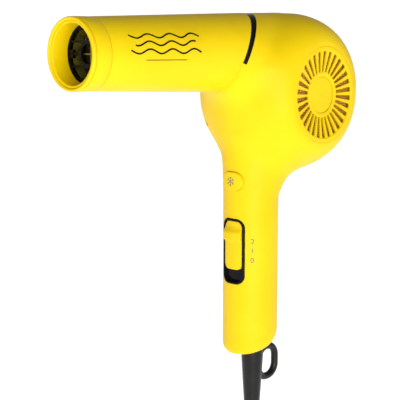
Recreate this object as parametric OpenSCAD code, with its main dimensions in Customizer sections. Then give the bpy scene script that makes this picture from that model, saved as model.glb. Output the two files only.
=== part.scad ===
// Hand-held hair dryer with a long tapered barrel, a drum-shaped blower housing that draws
// air through a round grille on each side, and a round handle with a slide switch, a
// cool-shot button and a hanging loop. The outlet points along -X and the left side faces -Y.
// The origin is the middle of the grip, on the handle's axis.

/* [Barrel] */
// Distance from the handle axis to the front of the mouth
outlet_reach = 163.6; // [150:0.2:175]
// Height of the barrel axis above the middle of the grip
barrel_z = 140; // [130:1:150]
// Outer radius of the barrel at the front seam
barrel_front_r = 22.6; // [22.6:0.1:23.4]
// Outer radius of the barrel level with the handle axis
barrel_rear_r = 28; // [27.5:0.1:28.5]
// Wall thickness of the barrel
barrel_wall = 2; // [1.6:0.1:2.2]
// Outer radius of the front collar
collar_r = 22.55; // [22.4:0.05:22.6]
// Inner radius of the mouth
mouth_r = 18.6; // [17.8:0.1:18.8]
// Depth of the mouth in front of the outlet grille
mouth_depth = 13; // [11:0.5:14]
// Radius of the curved seam between the barrel and the body, about the drum's axis
seam_r = 71; // [70:0.2:72]
// Width of the black accent band behind the seam
band_w = 3.6; // [2:0.1:4]

/* [Blower housing] */
// Distance of the drum axis behind the handle axis
drum_x = 29.3; // [28.5:0.1:30]
// Distance of the drum axis below the barrel axis
drum_drop = 29.3; // [29:0.1:30]
// Radius of the drum at its middle
drum_r = 57.8; // [57.5:0.1:58]
// Half of the width across both grilles
drum_half_w = 43.3; // [43:0.1:44]
// Radius of each round grille
grille_r = 33.9; // [33.5:0.1:34]
// Squareness of the drum's rounded edge: 2 is elliptical
crown_power = 1.7; // [1.6:0.05:2]
// Number of radial slots in each grille
slot_count = 30; // [20:2:36]
// Wall thickness of the drum and the handle
wall = 2.2; // [1.8:0.1:2.4]

/* [Handle] */
// Radius of the handle
handle_r = 20; // [19.5:0.1:20.5]
// Depth of the handle's lowest point below the barrel axis
handle_drop = 218.5; // [214:0.5:220]
// Slope of the handle's bottom face, in degrees
foot_slope = 14.5; // [10:0.1:18]
// Radius of the handle's lower front edge
foot_front_r = 6; // [3:0.5:7]
// Radius of the handle's lower rear edge
foot_rear_r = 12; // [9:0.5:13]

/* [Controls] */
// Depth of the cool button's middle below the barrel axis
cool_drop = 90; // [88:0.5:92]
// Travel of the cool button
cool_travel = 2; // [1:0.1:2]
// Width of the slide switch's bezel
bezel_w = 20; // [19:0.5:21]
// Depth of the bezel's top edge below the barrel axis
bezel_top = 116.8; // [116:0.2:118]
// Height of the bezel
bezel_h = 47.6; // [46:0.2:50]
// Length of the sliding button
slider_h = 35; // [33:0.1:36]
// Travel of the sliding button between its three positions
slider_travel = 8; // [6:0.5:8]

/* [Blower] */
// Outer radius of the fan wheel
fan_r = 32.5; // [30:0.5:33]
// Number of vanes on the fan wheel
vane_count = 20; // [12:1:24]
// Radius of the motor's case
motor_r = 15.5; // [14:0.5:16]
// Radius of the motor's shaft
shaft_r = 1.5; // [1:0.1:2]

/* [Cord] */
// Diameter of the mains cord
cord_d = 7.6; // [7:0.1:8]
// Radius at the middle of the stored coil's turns
coil_mid_r = 42; // [40:1:44]
// Distance from the handle axis to the cord's axis
cord_x = 2.8; // [2:0.1:3]

/* [Hidden] */
$fn = 64;
smooth_fn = 96;
far = 400;
gap = 0.1;

yellow = "#ffd91a";
black = "#161616";
mica = "#8d8a52";
steel = "#b9bcc0";
brass = "#c9a24a";
copper = "#b4703c";

// Every place below is measured from the barrel axis level with the handle axis.
mouth_x = -outlet_reach;
bead_end = mouth_x + 2.6;
collar_start = bead_end + 0.3;
collar_end = mouth_x + 14;
barrel_start = collar_end + 0.2;
mouth_end = mouth_x + mouth_depth;
drum_z = -drum_drop;
function barrel_r(x) = barrel_rear_r + (barrel_rear_r - barrel_front_r) * x / -collar_end;

// Outlet grille and heater
grille_bar = 1.6;
bar_pitch = 7.6;
outlet_grille_t = 3;
heater_start = mouth_end + outlet_grille_t;
grille_start = mouth_end + 0.3;
heater_end = -66;
sleeve_r = 20;
sleeve_t = 0.6;
board_half = sleeve_r - sleeve_t - gap;
board_t = 0.8;
coil_count = 8;
coil_pitch = 8.2;
coil_r = 14.8;
coil_wire_r = 1.5;
coil_start = heater_start + 6.6;

// Grilles: depths are measured inwards from the drum's flat face
grille_seat = 2;
slot_out = 30.7;
slot_in = 15.6;
cap_r = 12.9;
dish_out = 0.5;
dish_in = 2.7;
cap_depth = 3.1;
floor_depth = 4.4;
screen_depth = 6;
screen_t = 0.4;
intake_r = 32;

// Blower
scroll_half = 17.5;
scroll_t = 1.5;
scroll_r0 = 36;
scroll_r1 = 45.4;
tongue_a = 165;
eye_r = 29;
vane_in = 24;
vane_half = 14;
motor_y0 = 3.5;
motor_y1 = 31;
bearing_r = 3.55;
arm_r = 36;
post_end = drum_half_w + 2;
arm_angles = [60, 180, 300];
post_angles = [80, 222, 340];
post_r = 41;

// Casing screws: angle round the drum and distance from its axis, then one in the handle
boss_r = 4.4;
screw_r = 1.4;
boss_spots = [
  [drum_x + 47 * cos(206), drum_z + 47 * sin(206)],
  [drum_x + 48 * cos(315), drum_z + 48 * sin(315)],
  [-9, -180]
];
screw_seat = 9;

// Controls
bezel_rim = 1.6;
bezel_corner = 6.4;
bezel_proud = 0.9;
slider_w = bezel_w - 2 * bezel_rim - 0.6;
slider_z = -bezel_top - 2;
ridge_drop = 7;
ridge_h = 7;
cap_half = 2.4;
cool_cap_r = 6.7;
cool_z = -cool_drop;
cool_front = -handle_r - 2.4;
flange_x = -handle_r + wall + 0.3;
cool_switch_x = -8;
cool_stem_end = cool_switch_x - cool_travel - 0.4;
spring_wire_r = 0.35;
spring_r = 4.2;

// Cord and the pieces round it
relief_top = -198;
relief_end = -272;
relief_shape = [[8.2, -209], [8.1, -222], [7.3, -236], [6.7, -246], [5.8, -260], [4.9, relief_end]];
loop_x = 19;
loop_z = -230.5;
loop_half = [12.2, 14.4];
loop_t = 5.4;
cord_r = cord_d / 2;
turn_pitch = cord_d + 0.2;
coil_rows = 3;
coil_z = -378;
coil_outer = coil_mid_r + (coil_rows - 1) / 2 * turn_pitch + cord_r;
coil_half_y = turn_pitch / 2 + cord_r;

// The cord's route from the strain relief to the coil, and from the coil to the plug
cord_drop = [
  [2.8, 0, -272], [2.8, 0, -276], [3.3, 0, -281.6], [4.9, -0.1, -287], [7.4, -0.3, -292],
  [16.4, -1.4, -306.2], [25.3, -2.8, -320.3], [34.3, -3.9, -334.5]
];
plug_z = -418;
tail_route = [[52.6, 3.9, -398], [52.6, 3.9, -408], [52.6, 3.9, plug_z]];
plug_x = 52.6;
plug_y = 3.9;
plug_h = 36;
pin_r = 2.4;
pin_h = 19;
pin_gap = 19;

// ---------- helpers ----------

// Lifts what is measured from the barrel axis into the frame of the grip
module lifted() translate([0, 0, barrel_z]) children();

// A solid of revolution about the X axis; its outline is [radius, x]
module about_x(outline, sides = smooth_fn) rotate([0, 90, 0]) rotate_extrude($fn = sides) polygon(outline);

// A solid of revolution about the drum's axis; its outline is [radius, y]
module about_drum(outline, sides = smooth_fn) translate([drum_x, 0, drum_z]) rotate([-90, 0, 0])
  rotate_extrude($fn = sides) polygon(outline);

// A cylinder along Y from y0 to y1 through the point [x, z]
module pin_y(spot, r, y0, y1, sides = 32) translate([spot[0], y1, spot[1]]) rotate([90, 0, 0])
  cylinder(r = r, h = y1 - y0, $fn = sides);

// A cylinder along X from x0 to x1 through the point [y, z]
module pin_x(spot, r, x0, x1, sides = 32) translate([x0, spot[0], spot[1]]) rotate([0, 90, 0])
  cylinder(r = r, h = x1 - x0, $fn = sides);

// A box between two corners
module block(low, high) translate(low) cube(high - low);

// Extrudes an outline in X and Z along Y, from y0 to y1
module along_y(y0, y1) translate([0, y1, 0]) rotate([90, 0, 0]) linear_extrude(y1 - y0) children();

// Extrudes an outline in Y and Z along X, from x0 to x1
module along_x(x0, x1) translate([x0, 0, 0]) rotate([90, 0, 90]) linear_extrude(x1 - x0) children();

// Points of an arc about [cx, cy]
function arc(cx, cy, r, a0, a1, n = 8) =
  [for (i = [0 : n]) let (a = a0 + (a1 - a0) * i / n) [cx + r * cos(a), cy + r * sin(a)]];

// Place at an angle round the drum's axis, in X and Z
function round_drum(r, a) = [drum_x + r * cos(a), drum_z + r * sin(a)];

// A rectangle with rounded corners, made of true arcs
module rounded(w, h, r) {
  square([w - 2 * r, h], center = true);
  square([w, h - 2 * r], center = true);
  for (sx = [-1, 1], sy = [-1, 1])
    translate([sx * (w / 2 - r), sy * (h / 2 - r)]) circle(r = r, $fn = 32);
}

// Sweeps a round tube along the points of a route
function unit(v) = v / norm(v);
function aim(route, i) = unit(route[min(i + 1, len(route) - 1)] - route[max(i - 1, 0)]);
function side_of(t) = unit(cross(t, abs(t[1]) < 0.9 ? [0, 1, 0] : [1, 0, 0]));
function ring_at(p, t, r, sides) =
  let (u = side_of(t), v = cross(t, u))
  [for (k = [0 : sides - 1]) p + r * (u * cos(360 * k / sides) + v * sin(360 * k / sides))];
module tube(route, r, sides = 8) {
  n = len(route);
  points = [for (i = [0 : n - 1]) each ring_at(route[i], aim(route, i), r, sides)];
  walls = [
    for (i = [0 : n - 2], k = [0 : sides - 1])
      let (a = i * sides + k, b = i * sides + (k + 1) % sides)
      each [[a, b + sides, b], [a, a + sides, b + sides]]
  ];
  first_end = [for (k = [0 : sides - 1]) k];
  last_end = [for (k = [sides - 1 : -1 : 0]) (n - 1) * sides + k];
  polyhedron(concat(points), concat(walls, [first_end, last_end]));
}

// A disc about the drum's axis, as wide as the whole object
module drum_disc(r) pin_y([drum_x, drum_z], r, -far / 2, far / 2, 128);

// Everything between two radii about the drum's axis
module seam_zone(r0, r1) difference() {
  drum_disc(r1);
  drum_disc(r0);
}

// Everything in front of the seam and above the handle, grown backwards
module barrel_side(grow) difference() {
  block([-far, -far / 2, drum_z - 20], [drum_x, far / 2, far / 2]);
  drum_disc(seam_r - grow);
}

// ---------- outer form ----------

// Outline of the drum, t inside its surface
function crown(t) =
  let (face = grille_r - 0.4 * t, rise = drum_r - t - face, half = drum_half_w - t)
  let (n = 12, e = 2 / crown_power)
  [for (i = [-n : n]) let (a = 90 * i / n)
    [face + rise * pow(cos(a), e), sign(a) * half * pow(abs(sin(a)), e)]];

module drum_form(t) about_drum(concat([[0, t - drum_half_w]], crown(t), [[0, drum_half_w - t]]));

// The barrel's cone from x0 to x1, t inside its surface
module cone_form(x0, x1, t, sides = smooth_fn)
  about_x([[0, x0], [barrel_r(x0) - t, x0], [barrel_r(x1) - t, x1], [0, x1]], sides);

// The neck that leads the barrel into the drum
module neck_form(t) hull() {
  intersection() {
    cone_form(-60, 5, t, 32);
    seam_zone(seam_r - 0.4, seam_r + 0.4);
  }
  pin_x([0, 0], 27.6 - t, drum_x - 1, drum_x, 32);
  pin_x([0, -9], 33 - t, 6, 6.3, 32);
}

// The shoulder that leads the handle into the drum
module shoulder_form(t) hull() {
  translate([0, 0, -101]) cylinder(r = handle_r - 0.1 - t, h = 0.3, $fn = 32);
  translate([8.5, 0, -76]) cylinder(r = 25.4 - t, h = 0.3, $fn = 32);
}

// Side outline of the handle's lower end, t inside its surface
function foot_z(x, t) = -handle_drop + (x + handle_r) * tan(foot_slope) + t / cos(foot_slope);
function foot_arc(x, r, t, a0, a1) = arc(x, foot_z(x, 0) + r / cos(foot_slope), r - t, a0, a1);
function handle_side(t) = concat(
  [[-handle_r - 5 + t, -50], [-handle_r + t, -60]],
  foot_arc(-handle_r + foot_front_r, foot_front_r, t, 180, 270 + foot_slope),
  foot_arc(handle_r - foot_rear_r, foot_rear_r, t, foot_slope - 90, 0),
  [[handle_r - t, -60], [handle_r + 5 - t, -50]]
);
module handle_form(t) intersection() {
  translate([0, 0, -handle_drop - 5]) cylinder(r = handle_r - t, h = handle_drop - 50, $fn = smooth_fn);
  along_y(-far / 2, far / 2) polygon(handle_side(t + 0.02));
}

module body_form(t) {
  drum_form(t);
  neck_form(t);
  shoulder_form(t);
  handle_form(t);
}

// ---------- casing ----------

// A stadium in Y and Z about the cool button's middle
module cool_outline(grow) translate([0, cool_z]) {
  for (s = [-1, 1]) translate([s * cap_half, 0]) circle(r = cool_cap_r + grow, $fn = 48);
  square([2 * cap_half, 2 * (cool_cap_r + grow)], center = true);
}

module bezel_outline(grow) translate([0, -bezel_top - bezel_h / 2])
  rounded(bezel_w + 2 * grow, bezel_h + 2 * grow, bezel_corner + grow);

// The band lies over the top of the neck only, down to an angle round the drum's axis
band_end = 161;
module band_zone(grow) intersection() {
  seam_zone(seam_r - band_w - grow, seam_r + grow);
  along_y(-far / 2, far / 2) polygon([
    [drum_x, drum_z - grow], [drum_x, far],
    [-far, far], [-far, drum_z - grow + (drum_x + far) * tan(180 - band_end)]
  ]);
}

module shell_openings() {
  for (s = [-1, 1]) {
    pin_y([drum_x, drum_z], grille_r + gap, s > 0 ? drum_half_w - grille_seat : -drum_half_w - 2,
      s > 0 ? drum_half_w + 2 : -drum_half_w + grille_seat, smooth_fn);
    pin_y([drum_x, drum_z], intake_r, s > 0 ? drum_half_w - 8 : -drum_half_w - 2,
      s > 0 ? drum_half_w + 2 : -drum_half_w + 8, smooth_fn);
  }
  along_x(-handle_r - 8, -handle_r + 6) cool_outline(0.25);
  along_x(-handle_r - 8, -handle_r + 6) bezel_outline(gap);
  translate([cord_x, 0, -handle_drop - 10]) cylinder(r = relief_shape[0][0] + gap, h = 25);
  difference() {
    band_zone(gap);
    cone_form(-60, 5, 1);
  }
}

// The posts inside a half: screw bosses, rests for the scroll and, on the right, for the motor
module shell_posts(side) intersection() {
  body_form(wall / 2);
  union() {
    for (spot = boss_spots) pin_y(spot, boss_r, min(0, side * post_end), max(0, side * post_end));
    for (a = post_angles) pin_y(round_drum(post_r, a), 2.2,
      side > 0 ? scroll_half : -post_end, side > 0 ? post_end : -scroll_half);
    if (side > 0)
      for (a = arm_angles) pin_y(round_drum(arm_r, a), 2.8, 34.2, post_end);
  }
}

module shell_half(side) difference() {
  union() {
    intersection() {
      difference() {
        body_form(0);
        body_form(wall);
      }
      block([-far / 2, side > 0 ? 0 : -far / 2, -far], [far / 2, side > 0 ? far / 2 : 0, far]);
    }
    shell_posts(side);
  }
  shell_openings();
  barrel_side(0.15);
  for (spot = boss_spots)
    if (side > 0) {
      pin_y(spot, screw_r + 0.2, -1, screw_seat + 1);
      pin_y(spot, 3.1, screw_seat, drum_half_w + 2);
    } else
      pin_y(spot, screw_r + 0.02, -14, 1);
  if (side > 0)
    for (a = arm_angles) pin_y(round_drum(arm_r, a), 0.92, 33, 39);
}

module body_shell_left() color(yellow) lifted() shell_half(-1);
module body_shell_right() color(yellow) lifted() shell_half(1);

module accent_band() color(black) lifted() intersection() {
  difference() {
    neck_form(-0.12);
    cone_form(-60, 5, 0.95);
  }
  band_zone(0);
}

// ---------- barrel ----------

module barrel_tube() color(yellow) lifted() {
  difference() {
    cone_form(barrel_start, 10, 0);
    cone_form(barrel_start - 1, 11, barrel_wall);
    drum_disc(seam_r + 0.15);
  }
  // lip that locates the body on the barrel
  intersection() {
    difference() {
      cone_form(-60, 10, wall + 0.4);
      cone_form(-61, 11, wall + 1.4);
    }
    seam_zone(seam_r - 4, seam_r + 6);
  }
  // ring that joins the lip to the wall
  intersection() {
    difference() {
      cone_form(-60, 10, 1);
      cone_form(-61, 11, wall + 1.4);
    }
    seam_zone(seam_r + 2, seam_r + 6);
  }
}

module front_collar() color(yellow) lifted()
  about_x([[20.3, collar_start], [collar_r, collar_start], [collar_r, collar_end], [20.3, collar_end]]);

module outlet_rim() color(yellow) lifted() about_x(concat(
  [[mouth_r, mouth_end], [mouth_r, mouth_x + 1.7]],
  [[mouth_r + 0.3, mouth_x + 1.2], [mouth_r + 1.1, mouth_x + 1.1]],
  [[20.1, mouth_x + 1.6], [20.4, mouth_x + 1.6], [20.5, mouth_x + 0.5]],
  [[21, mouth_x], [21.8, mouth_x], [22.25, mouth_x + 0.35], [22.4, mouth_x + 0.9], [22.4, bead_end]],
  [[20.2, bead_end], [20.2, mouth_end]]
));

module outlet_grille() color(black) lifted() {
  difference() {
    pin_x([0, 0], 19.9, grille_start, heater_start, 64);
    pin_x([0, 0], 17.2, mouth_end - 1, heater_start + 1, 64);
  }
  intersection() {
    pin_x([0, 0], 18, grille_start + 0.3, heater_start, 64);
    difference() {
      union() {
        for (k = [-2 : 2])
          translate([mouth_end, -20, k * bar_pitch - grille_bar / 2]) cube([outlet_grille_t, 40, grille_bar]);
        pin_x([0, 0], 7.6, grille_start, heater_start, 48);
      }
      pin_x([0, 0], 6, mouth_end - 1, heater_start + 1, 48);
    }
  }
  // tab that turns the grille into its seat
  block([grille_start + 0.1, 13.6, -2.6], [heater_start - 0.4, 17.5, 2.6]);
}

// ---------- heater ----------

module mica_sleeve() color(mica) lifted() difference() {
  pin_x([0, 0], sleeve_r, heater_start, heater_end - 2, 64);
  pin_x([0, 0], sleeve_r - sleeve_t, heater_start - 1, heater_end, 64);
}

module mica_boards() color(mica) lifted() difference() {
  union() {
    block([heater_start + 0.2, -board_half, -board_t / 2], [heater_end, board_half, board_t / 2]);
    block([heater_start + 0.2, -board_t / 2, -board_half], [heater_end, board_t / 2, board_half]);
  }
  for (k = [0 : coil_count - 1], a = [0 : 90 : 270]) rotate([a, 0, 0])
    block([coil_start + k * coil_pitch - 1.8, -1, coil_r - 1.9],
      [coil_start + k * coil_pitch + 1.8, 1, board_half + 1]);
  // room for the thermal cutout
  block([-80.2, -8, -1], [-69.8, -4, 1]);
}

module heater_coils() color(steel) lifted() for (k = [0 : coil_count - 1])
  translate([coil_start + k * coil_pitch, 0, 0]) rotate([0, 90, 0])
    rotate_extrude($fn = 48) translate([coil_r, 0]) circle(r = coil_wire_r, $fn = 20);

module heater_terminals() color(brass) lifted() for (y = [-13, -4, 13])
  block([heater_end, y - 1.6, -board_t / 2], [heater_end + 6, y + 1.6, board_t / 2]);

module thermal_cutout() color(brass) lifted() {
  block([-80, -7.8, -1.6], [-70, -4.2, 1.6]);
  block([-79, -7, 1.6], [-72, -5, 2.2]);
}

module thermal_fuse() color(steel) lifted() {
  pin_x([7, board_t / 2 + 1.65], 1.6, -80, -70, 24);
  pin_x([7, board_t / 2 + 1.65], 0.4, -82.4, -67, 16);
}

// ---------- intake grilles ----------

// Outline of a grille: [radius, depth behind the drum's flat face]
grille_outline = [
  [0, floor_depth], [cap_r + gap, floor_depth], [cap_r + gap, dish_in + 0.1], [slot_in - 0.7, dish_in - 0.3],
  [slot_in, dish_in], [slot_out, dish_out], [slot_out + 0.3, 0], [grille_r - 0.3, 0], [grille_r, 0.3],
  [grille_r, grille_seat], [intake_r - gap, grille_seat], [slot_out, 2.6], [slot_in, dish_in + 2],
  [cap_r + 1, floor_depth + 1.2], [0, floor_depth + 1.2]
];

module grille_slots() for (k = [0 : slot_count - 1]) rotate(360 * k / slot_count + 90)
  polygon([[slot_in + 0.2, -0.75], [slot_out - 0.5, -1.45], [slot_out - 0.1, -0.9],
    [slot_out - 0.1, 0.9], [slot_out - 0.5, 1.45], [slot_in + 0.2, 0.75]]);

module grille(side) difference() {
  about_drum([for (p = grille_outline) [p[0], side * (drum_half_w - p[1])]]);
  translate([drum_x, side * drum_half_w + 8, drum_z]) rotate([90, 0, 0]) linear_extrude(16) grille_slots();
}
module intake_grille_left() color(yellow) lifted() grille(-1);
module intake_grille_right() color(yellow) lifted() grille(1);

module grille_cap(side) about_drum([for (p = [
  [0, cap_depth], [cap_r - 1, cap_depth + 0.1], [cap_r, cap_depth + 0.5],
  [cap_r, floor_depth], [0, floor_depth]
]) [p[0], side * (drum_half_w - p[1])]]);
module grille_cap_left() color(yellow) lifted() grille_cap(-1);
module grille_cap_right() color(yellow) lifted() grille_cap(1);

module dust_screen(side) {
  y = side * (drum_half_w - screen_depth);
  pin_y([drum_x, drum_z], intake_r - 0.3, min(y, y - side * screen_t), max(y, y - side * screen_t), 64);
}
module dust_screen_left() color(copper) lifted() dust_screen(-1);
module dust_screen_right() color(copper) lifted() dust_screen(1);

// ---------- blower ----------

// Radius of the scroll's wall at an angle counted on from its tongue
function scroll_r(a) = scroll_r0 + (scroll_r1 - scroll_r0) * (a - tongue_a) / (450 - tongue_a);
function scroll_line(grow) =
  [for (i = [0 : 30]) let (a = tongue_a + (450 - tongue_a) * i / 30) round_drum(scroll_r(a) + grow, a)];
scroll_mouth = 4;

module scroll_band(grow) polygon(concat(
  scroll_line(grow),
  [[scroll_mouth, drum_z + scroll_r1 + grow], [scroll_mouth - 8, -14 - grow]]
));

module scroll_housing() color("#3a3a38") lifted() {
  along_y(-scroll_half, scroll_half) intersection() {
    difference() {
      scroll_band(scroll_t);
      scroll_band(0);
    }
    difference() {
      scroll_band(scroll_t + 1);
      translate([scroll_mouth - 20, -15.6]) square([20, 60]);
    }
  }
  for (y = [-scroll_half, scroll_half - scroll_t]) along_y(y, y + scroll_t)
    difference() {
      scroll_band(scroll_t);
      translate([drum_x, drum_z]) circle(r = eye_r, $fn = 64);
      translate([scroll_mouth - 20, -80]) square([20, 120]);
    }
}

// One forward-curved vane, seen along the shaft
function vane_edge(off) = [for (i = [0 : 5]) let (r = vane_in + (fan_r - 0.6 - vane_in) * i / 5)
  let (a = -14 * pow(i / 5, 2) + off / r * 57.3) [r * cos(a), r * sin(a)]];
module vane() polygon(concat(vane_edge(0.5), [for (i = [5 : -1 : 0]) vane_edge(-0.5)[i]]));

module impeller() color("#2c2c2e") lifted() translate([drum_x, 0, drum_z]) rotate([90, 0, 0]) {
  difference() {
    union() {
      translate([0, 0, -0.8]) cylinder(r = vane_in + 2, h = 1.6);
      cylinder(r = 5, h = 7.5, $fn = 32);
      for (k = [0 : vane_count - 1]) rotate(360 * k / vane_count)
        translate([0, 0, -vane_half]) linear_extrude(2 * vane_half) vane();
      for (z = [-vane_half - 0.6, vane_half - 0.6]) translate([0, 0, z]) difference() {
        cylinder(r = fan_r, h = 1.2);
        translate([0, 0, -1]) cylinder(r = fan_r - 5, h = 4);
      }
    }
    translate([0, 0, -2]) cylinder(r = shaft_r, h = 12, $fn = 32);
  }
}

module motor_shaft() color(steel) lifted() pin_y([drum_x, drum_z], shaft_r, -8.5, 33.9);

module armature() color(copper) lifted() translate([drum_x, 9, drum_z]) rotate([-90, 0, 0])
  linear_extrude(17) difference() {
    circle(r = 10.6, $fn = 48);
    circle(r = shaft_r, $fn = 32);
    for (k = [0 : 4]) rotate(72 * k) translate([10, 0]) square([5, 2.4], center = true);
  }

module commutator() color(copper) lifted() difference() {
  pin_y([drum_x, drum_z], 4, 26.2, 30.2);
  pin_y([drum_x, drum_z], shaft_r, 26, 31);
}

module motor_case() color(steel) lifted() difference() {
  pin_y([drum_x, drum_z], motor_r, motor_y0, motor_y1, 64);
  pin_y([drum_x, drum_z], motor_r - 1.2, motor_y0 + 1.5, motor_y1 + 1, 64);
  pin_y([drum_x, drum_z], bearing_r + 0.05, motor_y0 - 1, motor_y0 + 3);
  for (a = [45 : 90 : 315]) pin_y(round_drum(9.5, a), 2, motor_y0 - 1, motor_y0 + 2, 24);
}

module motor_magnets() color("#4a4a4c") lifted() translate([drum_x, 8, drum_z]) rotate([-90, 0, 0])
  linear_extrude(19) difference() {
    circle(r = motor_r - 1.25, $fn = 64);
    circle(r = 11.4, $fn = 64);
    for (s = [-1, 1]) translate([s * 13, 0]) square([9, 8], center = true);
  }

module motor_end_cap() color(black) lifted() difference() {
  union() {
    pin_y([drum_x, drum_z], motor_r, motor_y1, motor_y1 + 1.6, 64);
    pin_y([drum_x, drum_z], 5.4, motor_y1, motor_y1 + 3.9);
  }
  pin_y([drum_x, drum_z], bearing_r + 0.05, motor_y1 - 1, motor_y1 + 3.1);
  for (a = [30 : 60 : 330]) pin_y(round_drum(10, a), 2, motor_y1 - 1, motor_y1 + 2, 24);
}

module bearing(y0) difference() {
  pin_y([drum_x, drum_z], bearing_r, y0, y0 + 3);
  pin_y([drum_x, drum_z], shaft_r + 0.04, y0 - 1, y0 + 4);
}
module front_bearing() color(brass) lifted() bearing(motor_y0);
module rear_bearing() color(brass) lifted() bearing(motor_y1 + 0.05);

module carbon_brushes() color("#333333") lifted() for (s = [-1, 1])
  translate([drum_x, 0, drum_z]) block([-1.4, 27, min(s * 4.2, s * 11)], [1.4, 29.8, max(s * 4.2, s * 11)]);

module motor_bracket() color(steel) lifted() {
  difference() {
    pin_y([drum_x, drum_z], motor_r + 1.8, 25, 31.3, 64);
    pin_y([drum_x, drum_z], motor_r + 0.05, 24, 32, 64);
  }
  for (a = arm_angles) difference() {
    union() {
      translate([drum_x, 0, drum_z]) rotate([0, -a, 0])
        block([motor_r + 1.2, 28.8, -3], [arm_r - 4.4, 30.8, 3]);
      pin_y(round_drum(arm_r, a), 5.2, 28.6, 31);
    }
    pin_y(round_drum(arm_r, a), 3.65, 28, 32);
  }
}

module bracket_bushes() color(black) lifted() for (a = arm_angles) difference() {
  union() {
    pin_y(round_drum(arm_r, a), 3.6, 27.4, 34.2);
    pin_y(round_drum(arm_r, a), 4.6, 31.05, 34.2);
  }
  pin_y(round_drum(arm_r, a), 1.5, 27, 35);
}

module bracket_screws() color(steel) lifted() for (a = arm_angles) {
  pin_y(round_drum(arm_r, a), 0.9, 27.4, 38);
  pin_y(round_drum(arm_r, a), 2.9, 25.8, 27.4);
}

module casing_screws() color(steel) lifted() for (spot = boss_spots) difference() {
  union() {
    pin_y(spot, screw_r, -12, screw_seat);
    pin_y(spot, 2.8, screw_seat, screw_seat + 2);
  }
  for (a = [0, 90]) translate([spot[0], screw_seat + 1.6, spot[1]]) rotate([0, a, 0])
    cube([3.6, 1.2, 0.8], center = true);
}

// ---------- controls ----------

module cool_button() color(yellow) lifted() {
  along_x(cool_front + 0.8, flange_x + 0.1) cool_outline(0);
  along_x(cool_front, cool_front + 0.81) cool_outline(-0.7);
  // flange that keeps the button behind the wall
  intersection() {
    along_x(flange_x, flange_x + 1.2) cool_outline(1.4);
    translate([0, 0, cool_z - 12]) cylinder(r = handle_r - wall - 0.25, h = 24);
  }
  pin_x([0, cool_z], 2.4, flange_x + 1, cool_stem_end);
}

function spring_turn(i, n) = let (x0 = flange_x + 1.2 + spring_wire_r, x1 = cool_switch_x - spring_wire_r)
  [x0 + (x1 - x0) * i / n, spring_r * cos(i * 30), cool_z + spring_r * sin(i * 30)];
module cool_button_spring() color(steel) lifted()
  tube([for (i = [0 : 48]) spring_turn(i, 48)], spring_wire_r);

module cool_switch() color("#5b2a24") lifted() {
  block([cool_switch_x, -6, cool_z - 7], [cool_switch_x + 9, 6, cool_z + 7]);
  for (s = [-4, 4])
    block([cool_switch_x + 9, s - 1.2, cool_z - 0.4], [cool_switch_x + 13, s + 1.2, cool_z + 0.4]);
}

module switch_bezel() color(black) lifted() {
  difference() {
    intersection() {
      along_x(-handle_r - 2, -handle_r + 5) bezel_outline(0);
      translate([0, 0, -bezel_top - bezel_h - 1])
        cylinder(r = handle_r + bezel_proud, h = bezel_h + 2, $fn = smooth_fn);
    }
    along_x(-handle_r - 3, -handle_r + 3.6) bezel_outline(-bezel_rim);
    block([-handle_r - 3, -2.6, slider_z - slider_travel - 26], [-handle_r + 6, 2.6, slider_z - 12]);
  }
}

slider_mid = slider_z - slider_h / 2;
module speed_slider() color(yellow) lifted() {
  intersection() {
    along_x(-handle_r - 4, -handle_r + 3.4) translate([0, slider_mid])
      rounded(slider_w, slider_h, bezel_corner - bezel_rim - 0.3);
    union() {
      translate([0, 0, slider_z - slider_h - 1])
        cylinder(r = handle_r + 0.5, h = slider_h + 2, $fn = smooth_fn);
      translate([-handle_r + 1.4, 0, slider_z - ridge_drop - ridge_h / 2]) rotate([90, 0, 0])
        cylinder(r = ridge_h / 2, h = slider_w - 3, center = true, $fn = 32);
    }
  }
  block([-handle_r + 3.3, -2.2, slider_z - 22], [-handle_r + 5.9, 2.2, slider_z - 14]);
}

module slide_switch() color("#222222") lifted() difference() {
  block([-handle_r + 5.1, -8, -162], [-4, 8, -120]);
  block([-handle_r + 4, -4, -158], [-9, 4, -124]);
}

module switch_carriage() color("#6a4b2a") lifted()
  block([-handle_r + 5.9, -3.6, slider_z - 24], [-9.6, 3.6, slider_z - 12]);

module switch_terminals() color(brass) lifted() for (z = [-126, -136, -146, -156])
  block([-4, -2, z - 0.4], [-1, 2, z + 0.4]);

module suppression_capacitor() color("#d8b03a") lifted() block([-8, -3.5, -114], [6, 3.5, -102]);

module rectifier_board() color("#3f6b3a") lifted() block([7, -11, -164], [8.6, 11, -120]);

module rectifier_diodes() color(black) lifted() for (z = [-128, -138, -148, -158])
  translate([10.4, 0, z]) rotate([90, 0, 0]) cylinder(r = 1.7, h = 8, center = true, $fn = 24);

// ---------- wiring and cord ----------

wire_r = 1.1;
supply_routes = [
  [[2, -1.6, -179.6], [1.6, -2.2, -175], [0.8, -3, -170], [0.6, -3.8, -164], [0.6, -3.8, -158],
   [0.2, -2.4, -156]],
  [[2, 1.6, -179.6], [2.4, 2.4, -175], [3.6, 3.6, -170], [5, 4.6, -165], [5.8, 5, -160]]
];
module supply_wires() color("#7a3b2a") lifted() for (route = supply_routes) tube(route, wire_r);

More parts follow.
